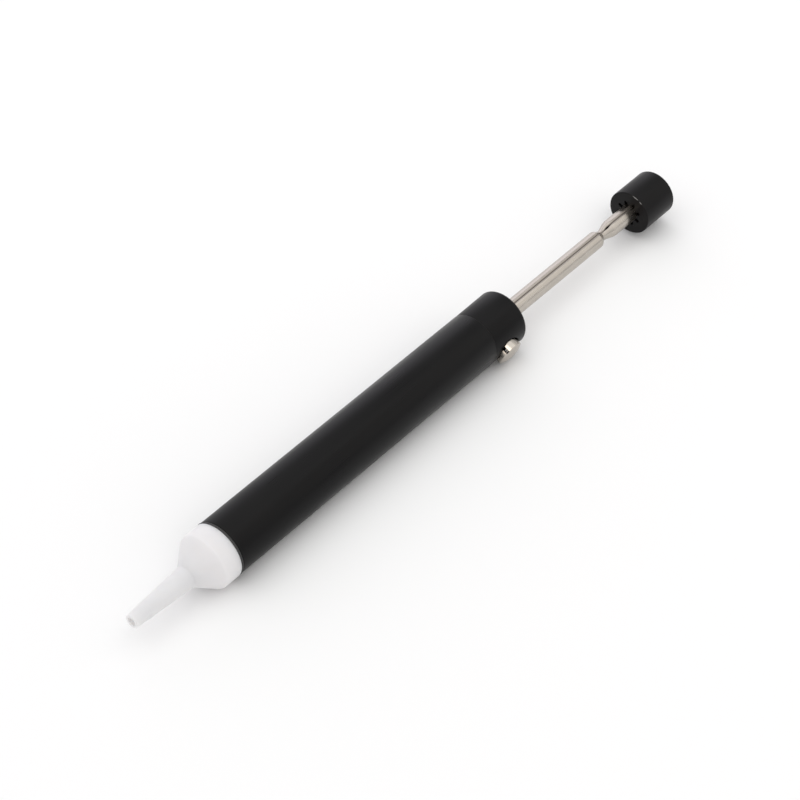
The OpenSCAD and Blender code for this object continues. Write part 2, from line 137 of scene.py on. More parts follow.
# --- Nozzle -----------------------------------------------------------------------------------
# Heat-proof white plastic, turned and drilled. Its spigot pushes into the seat in the barrel.
# The slim tip meets the round collar in a straight cone with a soft corner.
nozzle_low, nozzle_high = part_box("nozzle")
ring_low, ring_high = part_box("front_ring")
sharp_from = radians(32)


def outline_of(points, rounds, closed=True):
    """A wire outline of (place along the pump, radius) points, with some corners rounded."""
    form = bmesh.new()
    corners = [form.verts.new((x, 0, r)) for x, r in points]
    for first, second in zip(corners, corners[1:] + corners[:1] * closed):
        form.edges.new((first, second))
    for index, radius, steps in rounds:
        bmesh.ops.bevel(
            form, geom=[corners[index]], affect="VERTICES", offset_type="OFFSET",
            offset=radius, segments=steps, profile=0.5, material=-1,
        )
    return form


def turn(form, steps=128, angle=2 * pi):
    """Turns a wire outline about the pump's axis into a skin."""
    bmesh.ops.spin(
        form, geom=form.verts[:] + form.edges[:], cent=(0, 0, 0), axis=(1, 0, 0),
        dvec=(0, 0, 0), angle=angle, steps=steps, use_merge=angle == 2 * pi, use_duplicate=False,
    )
    bmesh.ops.remove_doubles(form, verts=form.verts, dist=0.001 * MM)
    return form


def shade(mesh):
    """Shades a mesh smooth, with its corners left sharp."""
    mesh.shade_smooth()
    mesh.set_sharp_from_angle(angle=sharp_from)


def piece(form, name, body, replaces):
    """Makes a finished, smooth-shaded object of a form and lets it ride on a body."""
    bmesh.ops.recalc_face_normals(form, faces=form.faces)
    mesh = bpy.data.meshes.new(name)
    form.to_mesh(mesh)
    form.free()
    shade(mesh)
    made = bpy.data.objects.new(name, mesh)
    bpy.context.scene.collection.objects.link(made)
    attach(made, body)
    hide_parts(*replaces)
    return made


tip_r, tip_root_r, tip_root_x = 2.5 * MM, 3.95 * MM, 24 * MM
tip_bore_r, tip_bore_end = 1.5 * MM, 12 * MM
collar_r, collar_l = -nozzle_low.z, 6.4 * MM
collar_front, collar_back = ring_low.x - collar_l, ring_low.x
funnel_r, funnel_root_r, funnel_mouth = 5.15 * MM, 2.45 * MM, collar_back - 4 * MM
spigot_r = 6.95 * MM
groove_r, groove_low, groove_high = 5.85 * MM, 43.05 * MM, 44.35 * MM
nozzle_outline = [
    (0, tip_bore_r), (0, tip_r), (tip_root_x, tip_root_r), (collar_front, collar_r),
    (collar_back, collar_r), (collar_back, spigot_r), (groove_low, spigot_r),
    (groove_low, groove_r), (groove_high, groove_r), (groove_high, spigot_r),
    (nozzle_high.x, spigot_r), (nozzle_high.x, funnel_r), (funnel_mouth, funnel_r),
    (tip_root_x, funnel_root_r), (tip_bore_end, tip_bore_r),
]
nozzle_rounds = [
    (0, 0.2 * MM, 3), (1, 0.45 * MM, 5), (2, 0.4 * MM, 6), (3, 0.6 * MM, 8), (4, 0.15 * MM, 3),
    (10, 0.4 * MM, 4), (12, 1 * MM, 5), (13, 1 * MM, 5),
]
nozzle = piece(
    turn(outline_of(nozzle_outline, nozzle_rounds)),
    "nozzle_turned", "nozzle_unit", ["nozzle"],
)


def material_for(slot, *objects):
    """A new material, given to some objects: its node tree and its main shader."""
    material = bpy.data.materials.new(slot)
    material.use_nodes = True
    for part in objects:
        part.data.materials.clear()
        part.data.materials.append(material)
    return material.node_tree, material.node_tree.nodes["Principled BSDF"]


def feed(tree, value, socket):
    """Gives a node's input a number, a colour or another node's output."""
    if isinstance(value, bpy.types.NodeSocket):
        tree.links.new(value, socket)
    else:
        socket.default_value = value


def noise(tree, scale, detail, distortion=0.0):
    """Cloudy noise fixed to the piece, from 0 to 1. The scale is in lumps to the metre."""
    made = tree.nodes.new("ShaderNodeTexNoise")
    feed(tree, tree.nodes.new("ShaderNodeTexCoord").outputs["Object"], made.inputs["Vector"])
    made.inputs["Scale"].default_value = scale
    made.inputs["Detail"].default_value = detail
    made.inputs["Distortion"].default_value = distortion
    return made.outputs["Fac"]


def math_of(tree, operation, *values):
    """One step of arithmetic on numbers or outputs."""
    made = tree.nodes.new("ShaderNodeMath")
    made.operation = operation
    for socket, value in zip(made.inputs, values):
        feed(tree, value, socket)
    return made.outputs[0]


def smooth_step(tree, value, low, high, out_low, out_high):
    """Maps a value from one range to another, softly and without passing its ends."""
    made = tree.nodes.new("ShaderNodeMapRange")
    made.interpolation_type = "SMOOTHSTEP"
    tree.links.new(value, made.inputs["Value"])
    ends = {"From Min": low, "From Max": high, "To Min": out_low, "To Max": out_high}
    for name, number in ends.items():
        made.inputs[name].default_value = number
    return made.outputs["Result"]


def colour_mix(tree, share, first, second):
    """Blends two colours or colour outputs."""
    made = tree.nodes.new("ShaderNodeMix")
    made.data_type = "RGBA"
    share_socket, first_socket, second_socket = made.inputs[0], made.inputs[6], made.inputs[7]
    feed(tree, share, share_socket)
    feed(tree, first, first_socket)
    feed(tree, second, second_socket)
    return made.outputs[2]


def new_group(name, inputs, outputs):
    """A shader node group with float inputs and outputs, and its two end nodes."""
    group = bpy.data.node_groups.new(name, "ShaderNodeTree")
    for label, number in inputs:
        socket = group.interface.new_socket(name=label, in_out="INPUT", socket_type="NodeSocketFloat")
        socket.default_value = number
    for label in outputs:
        group.interface.new_socket(name=label, in_out="OUTPUT", socket_type="NodeSocketFloat")
    return group, group.nodes.new("NodeGroupInput"), group.nodes.new("NodeGroupOutput")


def placed(tree, group, **values):
    """Places a group in a material with its own values."""
    made = tree.nodes.new("ShaderNodeGroup")
    made.node_tree = group
    for name, value in values.items():
        made.inputs[name].default_value = value
    return made


def bumped(tree, shader, height, distance, strength):
    """Raises the surface by a height from 0 to 1, which stands for a distance."""
    bump = tree.nodes.new("ShaderNodeBump")
    bump.inputs["Strength"].default_value = strength
    bump.inputs["Distance"].default_value = distance
    tree.links.new(height, bump.inputs["Height"])
    tree.links.new(bump.outputs["Normal"], shader.inputs["Normal"])


# Grain along the pump: noise drawn out along X, for turned, drawn and extruded surfaces.
# A length far below the width gives turned rings instead of lengthwise streaks.
grain, grain_in, grain_out = new_group(
    "drawn_grain", [("Length", 0.02), ("Width", 0.0005), ("Detail", 3.0)], ["Height"]
)
grain_place = grain.nodes.new("ShaderNodeTexCoord")
grain_parts = grain.nodes.new("ShaderNodeSeparateXYZ")
grain.links.new(grain_place.outputs["Object"], grain_parts.inputs[0])
grain_along = math_of(grain, "DIVIDE", grain_parts.outputs["X"], grain_in.outputs["Length"])
grain_across = math_of(grain, "DIVIDE", grain_parts.outputs["Y"], grain_in.outputs["Width"])
grain_up = math_of(grain, "DIVIDE", grain_parts.outputs["Z"], grain_in.outputs["Width"])
grain_point = grain.nodes.new("ShaderNodeCombineXYZ")
for grain_value, grain_socket in zip((grain_along, grain_across, grain_up), grain_point.inputs):
    grain.links.new(grain_value, grain_socket)
grain_noise = grain.nodes.new("ShaderNodeTexNoise")
grain_noise.inputs["Scale"].default_value = 1
grain.links.new(grain_point.outputs[0], grain_noise.inputs["Vector"])
grain.links.new(grain_in.outputs["Detail"], grain_noise.inputs["Detail"])
grain.links.new(grain_noise.outputs["Fac"], grain_out.inputs["Height"])

# Dust: rare pale specks of mixed size.
dust, dust_in, dust_out = new_group(
    "dust", [("Spacing", 0.003), ("Share", 0.1), ("Size", 0.05)], ["Mask"]
)
dust_place = dust.nodes.new("ShaderNodeTexCoord")
dust_scale = math_of(dust, "DIVIDE", 1.0, dust_in.outputs["Spacing"])
dust_cells = dust.nodes.new("ShaderNodeTexVoronoi")
dust.links.new(dust_place.outputs["Object"], dust_cells.inputs["Vector"])
dust.links.new(dust_scale, dust_cells.inputs["Scale"])
dust_random = dust.nodes.new("ShaderNodeSeparateColor")
dust.links.new(dust_cells.outputs["Color"], dust_random.inputs[0])
dust_kept = math_of(dust, "LESS_THAN", dust_random.outputs["Red"], dust_in.outputs["Share"])
dust_reach = math_of(dust, "MULTIPLY", dust_random.outputs["Green"], dust_in.outputs["Size"])
dust_near = math_of(dust, "LESS_THAN", dust_cells.outputs["Distance"], dust_reach)
dust.links.new(math_of(dust, "MULTIPLY", dust_kept, dust_near), dust_out.inputs["Mask"])

# Waxy white, a little soiled by flux at the mouth, with rings from the turning.
nozzle_shade, nozzle_light = (0.745, 0.73, 0.74, 1), (0.80, 0.785, 0.79, 1)
soil_colour, soil_share, soil_l = (0.62, 0.60, 0.56, 1), 0.08, 3 * MM
tree, shader = material_for("nozzle_plastic", nozzle)
nozzle_parts = tree.nodes.new("ShaderNodeSeparateXYZ")
feed(tree, tree.nodes.new("ShaderNodeTexCoord").outputs["Object"], nozzle_parts.inputs[0])
tip_soil = smooth_step(tree, nozzle_parts.outputs["X"], 0.0, soil_l, soil_share, 0.0)
white = colour_mix(tree, noise(tree, 90, 3), nozzle_shade, nozzle_light)
feed(tree, colour_mix(tree, tip_soil, white, soil_colour), shader.inputs["Base Color"])
turned_rings = placed(tree, grain, Length=0.35 * MM, Width=0.05, Detail=2.0).outputs["Height"]
feed(tree, smooth_step(tree, turned_rings, 0.2, 0.8, 0.36, 0.48), shader.inputs["Roughness"])
bumped(tree, shader, turned_rings, 0.01 * MM, 0.5)
shader.inputs["Subsurface Weight"].default_value = 0.8
shader.inputs["Subsurface Radius"].default_value = (1.0, 0.95, 0.9)
shader.inputs["Subsurface Scale"].default_value = 5 * MM
shader.inputs["IOR"].default_value = 1.38


# --- Seals and front ring ---------------------------------------------------------------------
# Black rubber: the gasket ring that shows as a thin dark line in front of the barrel, the rings
# in the nozzle, seat and piston, and the bumper that the piston lands on.
front_ring_r, front_ring_bore = min(ring_high.y, ring_high.z), 7.3 * MM
front_ring_round = 0.48 * MM
front_ring_outline = [
    (ring_low.x, front_ring_bore), (ring_low.x, front_ring_r),
    (ring_high.x, front_ring_r), (ring_high.x, front_ring_bore),
]
front_ring_form = outline_of(front_ring_outline, [(1, front_ring_round, 8), (2, front_ring_round, 8)])
front_ring = piece(
    turn(front_ring_form), "front_gasket", "housing", ["front_ring"]
)
rubber_names = ("nozzle_oring", "seat_oring", "piston_oring", "rear_bumper")
rubber_black, rubber_bloom = (0.012, 0.012, 0.013, 1), (0.03, 0.03, 0.031, 1)
rubber_nodes = [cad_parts[name] for name in rubber_names]
tree, shader = material_for("seal_rubber", front_ring, *rubber_nodes)
bloom = noise(tree, 700, 4)
feed(tree, colour_mix(tree, bloom, rubber_black, rubber_bloom), shader.inputs["Base Color"])
feed(tree, smooth_step(tree, bloom, 0.3, 0.7, 0.5, 0.68), shader.inputs["Roughness"])
bumped(tree, shader, bloom, 0.02 * MM, 0.4)


# --- Barrel -----------------------------------------------------------------------------------
# A black extruded plastic tube, cut square, with its edges just broken.
# Extrusion leaves faint lengthwise streaks in the satin skin.
barrel_low, barrel_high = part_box("barrel")
barrel_r, barrel_bore_r = -barrel_low.z, 8.5 * MM
barrel_outline = [
    (barrel_low.x, barrel_bore_r), (barrel_low.x, barrel_r),
    (barrel_high.x, barrel_r), (barrel_high.x, barrel_bore_r),
]
barrel_form = outline_of(barrel_outline, [(1, 0.2 * MM, 4), (2, 0.12 * MM, 3)])
barrel = piece(turn(barrel_form, 160), "barrel_tube", "housing", ["barrel"])


def black_plastic(slot, dark, pale, roughness, part):
    """Satin black plastic with extrusion streaks, a fine skin texture and a little dust."""
    tree, shader = material_for(slot, part)
    streaks = placed(tree, grain, Length=0.06, Width=0.5 * MM, Detail=3.0).outputs["Height"]
    skin = noise(tree, 5200, 2)
    cloud = noise(tree, 60, 4)
    specks = placed(tree, dust, Spacing=3.5 * MM, Share=0.1, Size=0.03).outputs["Mask"]
    plastic = colour_mix(tree, cloud, dark, pale)
    dust_colour, dust_cover = (0.35, 0.34, 0.32, 1), math_of(tree, "MULTIPLY", specks, 0.35)
    feed(tree, colour_mix(tree, dust_cover, plastic, dust_colour), shader.inputs["Base Color"])
    rough = math_of(tree, "ADD", smooth_step(tree, streaks, 0.3, 0.7, -0.03, 0.03), roughness)
    rough = math_of(tree, "ADD", smooth_step(tree, cloud, 0.3, 0.7, -0.04, 0.04), rough)
    rough = math_of(tree, "ADD", rough, math_of(tree, "MULTIPLY", specks, 0.3))
    feed(tree, rough, shader.inputs["Roughness"])
    streak_height = math_of(tree, "MULTIPLY", streaks, 0.6)
    height = math_of(tree, "ADD", streak_height, math_of(tree, "MULTIPLY", skin, 0.4))
    bumped(tree, shader, height, 0.008 * MM, 0.6)
    shader.inputs["Specular IOR Level"].default_value = 0.14
    return tree, shader


barrel_black, barrel_grey = (0.0022, 0.0021, 0.0024, 1), (0.004, 0.0037, 0.004, 1)
black_plastic("barrel_plastic", barrel_black, barrel_grey, 0.33, barrel)


# --- End cap ----------------------------------------------------------------------------------
# Moulded black plastic, a touch wider at its rounded back, with its spigot in the barrel.
# A round well in its side takes the trigger button, and a slot under it takes the latch plate.
cap_low, cap_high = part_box("end_cap")
button_low, button_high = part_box("trigger_button")
bush_low, bush_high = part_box("rod_bush")
felt_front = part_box("rod_felt")[0].x
trigger_drop = radians(24)
trigger_x = (button_low.x + button_high.x) / 2
at_trigger = Matrix.Translation((trigger_x, 0, 0)) @ Matrix.Rotation(pi / 2 + trigger_drop, 4, "X")
cap_r = -cap_low.z
cap_front_r = barrel_r - 0.05 * MM
cap_spigot_r, cap_bore_r = 8.48 * MM, 3.5 * MM
bush_r = -bush_low.z
bush_pocket_r = bush_r + 0.02 * MM
well_r, well_floor, well_mouth = 5.3 * MM, 6.4 * MM, 14 * MM
slot_w, slot_t, slot_end, slot_overcut = 9.4 * MM, 1.4 * MM, -4.2 * MM, 0.01 * MM


def cut_out(made, cutter_form, at=Matrix.Identity(4)):
    """Cuts a closed form out of a piece, and throws the cutter away."""
    bmesh.ops.transform(cutter_form, matrix=at, verts=cutter_form.verts)
    bmesh.ops.recalc_face_normals(cutter_form, faces=cutter_form.faces)
    cutter_mesh = bpy.data.meshes.new("cutter")
    cutter_form.to_mesh(cutter_mesh)
    cutter_form.free()
    cutter = bpy.data.objects.new("cutter", cutter_mesh)
    bpy.context.scene.collection.objects.link(cutter)
    cut = made.modifiers.new("cut", "BOOLEAN")
    cut.operation = "DIFFERENCE"
    cut.solver = "EXACT"
    cut.object = cutter
    bpy.context.view_layer.update()
    with_cut = made.evaluated_get(bpy.context.evaluated_depsgraph_get())
    result = bpy.data.meshes.new_from_object(with_cut)
    made.modifiers.remove(cut)
    old_mesh = made.data
    made.data = result
    bpy.data.meshes.remove(old_mesh)
    bpy.data.objects.remove(cutter)
    shade(made.data)


def drum(radius, bottom, top):
    """A closed round form standing along Z."""
    form = bmesh.new()
    bmesh.ops.create_cone(
        form, cap_ends=True, segments=96, radius1=radius, radius2=radius, depth=top - bottom,
        matrix=Matrix.Translation((0, 0, (top + bottom) / 2)),
    )
    return form


def block(width, depth, bottom, top):
    """A closed box around the Z axis, from a bottom to a top."""
    form = bmesh.new()
    centre = Matrix.Translation((0, 0, (bottom + top) / 2))
    size = Matrix.Diagonal((width, depth, top - bottom, 1))
    bmesh.ops.create_cube(form, size=1, matrix=centre @ size)
    return form


cap_outline = [
    (cap_low.x, cap_bore_r), (cap_low.x, cap_spigot_r), (barrel_high.x, cap_spigot_r),
    (barrel_high.x, cap_front_r), (cap_high.x, cap_r), (cap_high.x, bush_pocket_r),
    (felt_front, bush_pocket_r), (felt_front, cap_bore_r),
]
cap_rounds = [(3, 0.12 * MM, 3), (4, 1.4 * MM, 10), (5, 0.2 * MM, 3)]
cap_form = turn(outline_of(cap_outline, cap_rounds), 160)
cap = piece(cap_form, "rear_cap", "housing", ["end_cap"])
cut_out(cap, drum(well_r, well_floor, well_mouth), at_trigger)
plate_slot = block(slot_t, slot_w, slot_end - slot_overcut, well_floor + slot_overcut)
cut_out(cap, plate_slot, at_trigger)
cap_black, cap_grey = (0.0026, 0.0025, 0.0028, 1), (0.0048, 0.0044, 0.0048, 1)
black_plastic("cap_plastic", cap_black, cap_grey, 0.34, cap)


# --- Bush and felt ----------------------------------------------------------------------------
# The rod slides in a turned brass bush pressed into the cap's back.
# An oiled felt ring in front of the bush wipes the rod clean.
bush_bore_r = 3.25 * MM
bush_outline = [
    (bush_low.x, bush_bore_r), (bush_low.x, bush_r),
    (bush_high.x, bush_r), (bush_high.x, bush_bore_r),
]
bush_form = outline_of(bush_outline, [(2, 0.15 * MM, 3), (3, 0.35 * MM, 4)])
bush = piece(turn(bush_form), "brass_bush", "housing", ["rod_bush"])
brass_tarnished, brass_bright = (0.55, 0.38, 0.15, 1), (0.80, 0.60, 0.28, 1)
tree, shader = material_for("brass", bush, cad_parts["pin_stud"])
tarnish = noise(tree, 350, 5)
feed(tree, colour_mix(tree, tarnish, brass_tarnished, brass_bright), shader.inputs["Base Color"])
shader.inputs["Metallic"].default_value = 1
turned_rings = placed(tree, grain, Length=0.12 * MM, Width=0.05, Detail=2.0).outputs["Height"]
feed(tree, smooth_step(tree, tarnish, 0.3, 0.7, 0.22, 0.42), shader.inputs["Roughness"])
bumped(tree, shader, turned_rings, 0.01 * MM, 0.5)

felt_dark, felt_pale = (0.10, 0.10, 0.09, 1), (0.32, 0.31, 0.29, 1)
tree, shader = material_for("felt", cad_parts["rod_felt"])
fibres = noise(tree, 6000, 6, 1.5)
feed(tree, colour_mix(tree, fibres, felt_dark, felt_pale), shader.inputs["Base Color"])
shader.inputs["Roughness"].default_value = 0.95
shader.inputs["Sheen Weight"].default_value = 0.3
bumped(tree, shader, fibres, 0.1 * MM, 0.8)


# --- Inner plastic ----------------------------------------------------------------------------
# The spring seat and the piston are moulded in natural-coloured plastic.
# The button's core is moulded in black.
natural_shade, natural_light = (0.60, 0.59, 0.54, 1), (0.74, 0.73, 0.69, 1)
moulded_nodes = [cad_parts[name] for name in ("spring_seat", "piston")]
tree, shader = material_for("inner_plastic", *moulded_nodes)
cloud = noise(tree, 140, 4)
feed(tree, colour_mix(tree, cloud, natural_shade, natural_light), shader.inputs["Base Color"])
feed(tree, smooth_step(tree, cloud, 0.3, 0.7, 0.36, 0.5), shader.inputs["Roughness"])
bumped(tree, shader, noise(tree, 3500, 2), 0.01 * MM, 0.5)
shader.inputs["Subsurface Weight"].default_value = 0.2
shader.inputs["Subsurface Scale"].default_value = 1 * MM

core_black, core_grey = (0.02, 0.02, 0.02, 1), (0.035, 0.035, 0.035, 1)
black_plastic("core_plastic", core_black, core_grey, 0.5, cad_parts["button_core"])


# --- Main spring ------------------------------------------------------------------------------
# Drawn steel wire, coiled with a closed turn at each end. It pushes the piston back.
# It gets shorter as the plunger goes in.
spring_low, spring_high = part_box("main_spring")
wire_sides, turn_steps = 12, 32


def coil(mean_r, wire_r, length, turns):
    """A compression spring standing on x = 0, around the X axis. Its end turns almost touch."""
    form = bmesh.new()
    closed_pitch = 2.1 * wire_r
    open_pitch = (length - 2 * wire_r - 2 * closed_pitch) / (turns - 2)
    wire_end = Matrix.Translation((wire_r, 0, mean_r)) @ Matrix.Rotation(pi / 2, 4, "X")
    bmesh.ops.create_circle(form, segments=wire_sides, radius=wire_r, matrix=wire_end)
    last = form.verts[:] + form.edges[:]
    for part_turns, pitch in ((1, closed_pitch), (turns - 2, open_pitch), (1, closed_pitch)):
        last = bmesh.ops.spin(
            form, geom=last, cent=(0, 0, 0), axis=(1, 0, 0), dvec=(pitch / turn_steps, 0, 0),
            angle=2 * pi * part_turns, steps=part_turns * turn_steps,
            use_merge=False, use_duplicate=False,
        )["geom_last"]
    bmesh.ops.holes_fill(form, edges=[edge for edge in form.edges if edge.is_boundary], sides=0)
    return form


main_spring_l = spring_high.x - spring_low.x
main_coil_r, main_wire_r, main_turns = 7.725 * MM, 0.55 * MM, 17
main_spring_form = coil(main_coil_r, main_wire_r, main_spring_l, main_turns)
bmesh.ops.translate(main_spring_form, verts=main_spring_form.verts, vec=(spring_low.x, 0, 0))
main_spring = piece(
    main_spring_form, "coiled_main_spring", "housing", ["main_spring"]
)
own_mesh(main_spring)


# --- Plunger rod ------------------------------------------------------------------------------
# A nickel-plated tube rolled from sheet. Its two long edges meet in a seam that stays a little open.
# A waist is pressed in near the knob: a steep shoulder faces the barrel, and the seam gapes beside it.
rod_low, rod_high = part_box("plunger_rod")
knob_low, knob_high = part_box("knob")
rod_r, rod_wall = 3.2 * MM, 0.6 * MM
waist_x, waist_r = knob_low.x - 16.2 * MM, 2.0 * MM
shoulder_x, waist_front = waist_x - 2.75 * MM, waist_x - 0.95 * MM
waist_back, flare_x = waist_x + 0.7 * MM, waist_x + 5.6 * MM
knee_x, knee_r = waist_x + 4.4 * MM, waist_r + 1.1 * MM
rod_outline = [
    (rod_low.x, rod_r), (shoulder_x, rod_r), (waist_front, waist_r), (waist_back, waist_r),
    (knee_x, knee_r), (flare_x, rod_r), (rod_high.x, rod_r),
]
rod_rounds = [
    (1, 0.5 * MM, 6), (2, 0.4 * MM, 5), (3, 0.6 * MM, 5), (4, 0.5 * MM, 5), (5, 0.6 * MM, 5),
]
rod_form = outline_of(rod_outline, rod_rounds, closed=False)

# The seam faces up and a little to the front. The sheet's edges curl in along it, which makes a
# shallow groove, and they part into a mouth at the waist.
seam_turn, seam_half = radians(13), 0.05 * MM / rod_r
groove_depth, groove_reach = 0.34 * MM, 0.85 * MM / rod_r
mouth_x, mouth_reach, mouth_half = waist_x + 2.6 * MM, 1.0 * MM, 0.40 * MM
mouth_turn, least_turn = 1.2, 0.001
fine_reach, fine_l = 5 * MM, 3 * MM
waist_edges = [
    edge for edge in rod_form.edges
    if abs(sum(vert.co.x for vert in edge.verts) / 2 - mouth_x) < fine_reach
    and edge.calc_length() < fine_l
]
bmesh.ops.subdivide_edges(rod_form, edges=waist_edges, cuts=1)
seam_start = Matrix.Rotation(seam_turn + seam_half, 3, "X")
bmesh.ops.rotate(rod_form, verts=rod_form.verts, cent=(0, 0, 0), matrix=seam_start)
turn(rod_form, 200, 2 * (pi - seam_half))
groove = rod_form.verts.layers.float.new("groove")
for vert in rod_form.verts:
    from_seam = (atan2(-vert.co.y, vert.co.z) - seam_turn + pi) % (2 * pi) - pi
    vert[groove] = max(0, 1 - abs(from_seam) / groove_reach)
    curl = 1 - groove_depth / rod_r * vert[groove] ** 2
    vert.co = Vector((vert.co.x, vert.co.y * curl, vert.co.z * curl))
    along_mouth = (vert.co.x - mouth_x) / mouth_reach
    near_seam = max(0, 1 - abs(from_seam) / mouth_turn) ** 2
    opening = mouth_half / rod_r * 2 ** (-along_mouth ** 2) * near_seam
    if opening > least_turn:
        shift = opening if from_seam > 0 else -opening
        vert.co = Matrix.Rotation(shift, 3, "X") @ vert.co
rod = piece(rod_form, "rolled_rod", "plunger", ["plunger_rod"])
sheet_wall = rod.modifiers.new("sheet_wall", "SOLIDIFY")
sheet_wall.thickness = rod_wall
sheet_wall.offset = -1
sheet_wall.use_even_offset = True
seam_edge = rod.modifiers.new("seam_edge", "BEVEL")
seam_edge.width = 0.2 * MM
seam_edge.segments = 4
seam_edge.limit_method = "ANGLE"
seam_edge.angle_limit = radians(60)


# --- Knob -------------------------------------------------------------------------------------
# A plain round knob of moulded black plastic, pushed onto the rod.
# Eight relief notches round the socket let it grip the rod without splitting.
knob_fit = 0.02 * MM
knob_r, knob_socket_r, knob_socket_end = -knob_low.z, rod_r + knob_fit, rod_high.x + knob_fit
knob_outline = [
    (knob_socket_end, 0), (knob_socket_end, knob_socket_r), (knob_low.x, knob_socket_r),
    (knob_low.x, knob_r), (knob_high.x, knob_r), (knob_high.x, 0),
]
knob_rounds = [(3, 0.45 * MM, 6), (4, 1 * MM, 10)]
knob_form = turn(outline_of(knob_outline, knob_rounds, closed=False), 160)
knob = piece(knob_form, "thumb_knob", "plunger", ["knob"])

# The notches are cut by eight bars that start inside the rod and have a rounded outer side.
notch_count, notch_turn = 8, radians(23)
notch_w, notch_start, notch_end = 1.3 * MM, 3.0 * MM, 4.9 * MM
notch_depth, notch_overcut, notch_round = 5 * MM, 1 * MM, notch_w * 0.48
notch_middle = (knob_low.x + (notch_depth - notch_overcut) / 2, 0, (notch_start + notch_end) / 2)
notch_size = (notch_depth + notch_overcut, notch_w, notch_end - notch_start, 1)
notch_place = Matrix.Translation(notch_middle) @ Matrix.Diagonal(notch_size)
notch_form = bmesh.new()
for index in range(notch_count):
    before = set(notch_form.verts)
    new_verts = bmesh.ops.create_cube(notch_form, size=1, matrix=notch_place)["verts"]
    outer_edges = {
        edge for vert in new_verts for edge in vert.link_edges
        if all(end.co.z > notch_end - 0.01 * MM for end in edge.verts)
        and abs(edge.verts[0].co.y - edge.verts[1].co.y) < 0.001 * MM
    }
    bmesh.ops.bevel(
        notch_form, geom=list(outer_edges), affect="EDGES", offset_type="OFFSET",
        offset=notch_round, segments=6, profile=0.5, material=-1,
    )
    added = [vert for vert in notch_form.verts if vert not in before]
    turned = Matrix.Rotation(notch_turn + 2 * pi * index / notch_count, 3, "X")
    bmesh.ops.rotate(notch_form, verts=added, cent=(0, 0, 0), matrix=turned)
cut_out(knob, notch_form)
knob_black, knob_grey = (0.003, 0.0028, 0.003, 1), (0.0062, 0.0056, 0.006, 1)
tree, shader = black_plastic("knob_plastic", knob_black, knob_grey, 0.36, knob)

# Two small pale marks on the front edge: a painted highlight on the knob's rounded rim.
rim_glint_colour, rim_glint_share, rim_glint_inset = (0.42, 0.41, 0.39, 1), 0.5, 0.15 * MM
rim_glint_w, rim_glint_height = 0.16 * MM, 0.2 * MM
rim_glint_r = knob_r - rim_glint_inset
rough_edge = noise(tree, 2500, 3)
for rim_glint_turn, rim_glint_length in ((radians(16), 1.5 * MM), (radians(34), 0.7 * MM)):
    mapping = tree.nodes.new("ShaderNodeMapping")
    mapping.vector_type = "TEXTURE"
    rim_glint_place = (knob_low.x + rim_glint_inset, -sin(rim_glint_turn) * rim_glint_r, cos(rim_glint_turn) * rim_glint_r)
    mapping.inputs["Location"].default_value = rim_glint_place
    mapping.inputs["Rotation"].default_value = (rim_glint_turn, 0, 0)
    mapping.inputs["Scale"].default_value = (rim_glint_w, rim_glint_length, rim_glint_height)
    feed(tree, tree.nodes.new("ShaderNodeTexCoord").outputs["Object"], mapping.inputs["Vector"])
    from_rim_glint = tree.nodes.new("ShaderNodeVectorMath")
    from_rim_glint.operation = "LENGTH"
    feed(tree, mapping.outputs[0], from_rim_glint.inputs[0])
    rim_glint_field = math_of(tree, "ADD", from_rim_glint.outputs["Value"], rough_edge)
    # Pale where the painted rim highlight lies, fading out at its broken edge.
    rim_glint = smooth_step(tree, rim_glint_field, 1.1, 1.5, rim_glint_share, 0.0)
    plain = shader.inputs["Base Color"].links[0].from_socket
    feed(tree, colour_mix(tree, rim_glint, plain, rim_glint_colour), shader.inputs["Base Color"])


# --- Trigger button ---------------------------------------------------------------------------
# A cup drawn from sheet and nickel-plated, with a domed face and a notch cut across its skirt.
# It slides in the cap's well with the latch plate hooked into it.
button_r, button_sheet = 4.85 * MM, 0.6 * MM
button_top, button_dome, skirt_z = 12.6 * MM, 1.2 * MM, 8.6 * MM
button_round, skirt_round = 0.25 * MM, 0.12 * MM
inner_r, inner_corner = button_r - button_sheet, 0.5 * MM
dome_r, dome_steps = (button_r ** 2 + button_dome ** 2) / (2 * button_dome), 10


def dome(reach, sphere_r):
    """Points of the button's dome, from its middle out to a radius."""
    radii = [reach * step / dome_steps for step in range(dome_steps + 1)]
    return [(button_top - dome_r + sqrt(sphere_r ** 2 - r ** 2), r) for r in radii]


outer_dome = dome(button_r, dome_r)
inner_dome = dome(inner_r - inner_corner, dome_r - button_sheet)
inner_edge = (inner_dome[-1][0] - inner_corner, inner_r)
button_skirt = [(skirt_z, button_r), (skirt_z, inner_r), inner_edge]
button_outline = outer_dome + button_skirt + inner_dome[::-1]
rim = len(outer_dome) - 1
button_rounds = [(rim, button_round, 6), (rim + 1, skirt_round, 3), (rim + 2, skirt_round, 3)]
button_form = turn(outline_of(button_outline, button_rounds, closed=False))
along_x_to_z = Matrix.Rotation(-pi / 2, 4, "Y")
bmesh.ops.transform(button_form, matrix=at_trigger @ along_x_to_z, verts=button_form.verts)
button = piece(button_form, "drawn_button", "trigger", ["trigger_button"])
skirt_notch_w, skirt_notch_l, skirt_notch_turn = 1.3 * MM, 12 * MM, radians(41)
skirt_notch_low, skirt_notch_top = skirt_z - 1 * MM, button_top - button_dome - 0.05 * MM
skirt_notch = block(skirt_notch_w, skirt_notch_l, skirt_notch_low, skirt_notch_top)
cut_out(button, skirt_notch, at_trigger @ Matrix.Rotation(skirt_notch_turn, 4, "Z"))
